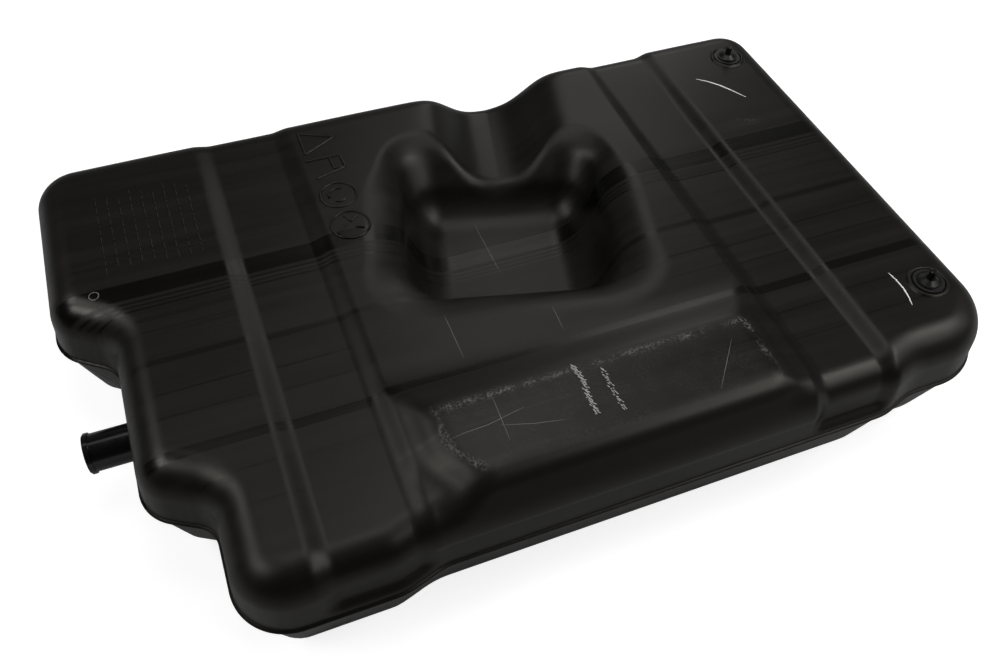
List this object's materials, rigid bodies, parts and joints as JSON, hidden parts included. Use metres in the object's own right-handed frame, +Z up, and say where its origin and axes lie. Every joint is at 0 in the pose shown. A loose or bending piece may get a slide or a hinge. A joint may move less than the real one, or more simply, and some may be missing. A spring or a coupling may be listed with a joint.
{
  "type": "car fuel tank",
  "caption": "Flat blow-moulded tank with strap channels, deep pocket, raised pad, side filler spigot and hanging fuel delivery unit.",
  "frame": {"origin": "bottom centre of the tank's box, on the plane that the lower face rests on", "axes": "+X along the tank away from the filler spigot, +Y towards the long side with the valley, +Z up through the face with the strap channels (the tank's bottom on the car)"},
  "size_m": [0.96, 0.623, 0.188],
  "materials": {
    "tank_plastic": "black polyethylene, blow moulded, soft sheen",
    "spigot_plastic": "black injection moulded, glossy",
    "flange_plastic": "black moulded",
    "cup_plastic": "natural moulded",
    "valve_plastic": "dark grey moulded",
    "float_foam": "closed-cell foam",
    "seal_rubber": "moulded rubber",
    "zinc_steel": "zinc plated",
    "spring_steel": "spring wire",
    "pump_steel": "drawn can",
    "contact_brass": "tinned blade",
    "strainer_mesh": "woven mesh pad"
  },
  "bodies": {
    "tank": {"tank_shell": "tank_plastic", "filler_spigot": "spigot_plastic", "flap_pin": "spring_steel", "flap_spring": "spring_steel", "shield_stud_back": "zinc_steel", "shield_stud_front": "zinc_steel", "stud_washer_back": "flange_plastic", "stud_washer_front": "flange_plastic", "push_nut_back": "zinc_steel", "push_nut_front": "zinc_steel", "pump_seal": "seal_rubber", "pump_flange": "flange_plastic", "connector_contacts": "contact_brass", "lock_ring": "zinc_steel", "guide_rod_left": "zinc_steel", "guide_rod_right": "zinc_steel", "rod_spring_left": "spring_steel", "rod_spring_right": "spring_steel", "supply_hose": "flange_plastic", "vent_valve_left": "valve_plastic", "vent_valve_right": "valve_plastic"},
    "reservoir": {"reservoir_cup": "cup_plastic", "fuel_pump": "pump_steel", "pump_isolator": "seal_rubber", "pump_strainer": "strainer_mesh", "level_sender": "flange_plastic"},
    "level_arm": {"float_arm": "spring_steel", "level_float": "float_foam"},
    "check_flap": {"inlet_flap": "spigot_plastic"},
    "left_vent_float": {"vent_float_left": "cup_plastic"},
    "right_vent_float": {"vent_float_right": "cup_plastic"}
  },
  "joints": [
    {"name": "reservoir_slide", "type": "slide", "parent": "tank", "child": "reservoir", "axis": [0, 0, -1], "range_m": [0, 0.01], "stiffness_N_per_m": 800, "springref_m": -0.02, "deforming": ["rod_spring_left", "rod_spring_right", "supply_hose"]},
    {"name": "float_arm_pivot", "type": "hinge", "parent": "reservoir", "child": "level_arm", "pos_m": [-0.3166, 0.1, 0.112], "axis": [-1, 0, 0], "range_deg": [0, 56]},
    {"name": "inlet_flap_hinge", "type": "hinge", "parent": "tank", "child": "check_flap", "pos_m": [-0.3887, -0.0445, 0.053], "axis": [0, 1, 0], "range_deg": [0, 70], "stiffness_Nm_per_rad": 0.02, "springref_deg": -28.65},
    {"name": "left_vent_float_slide", "type": "slide", "parent": "tank", "child": "left_vent_float", "axis": [0, 0, 1], "range_m": [0, 0.006]},
    {"name": "right_vent_float_slide", "type": "slide", "parent": "tank", "child": "right_vent_float", "axis": [0, 0, 1], "range_m": [0, 0.006]}
  ]
}
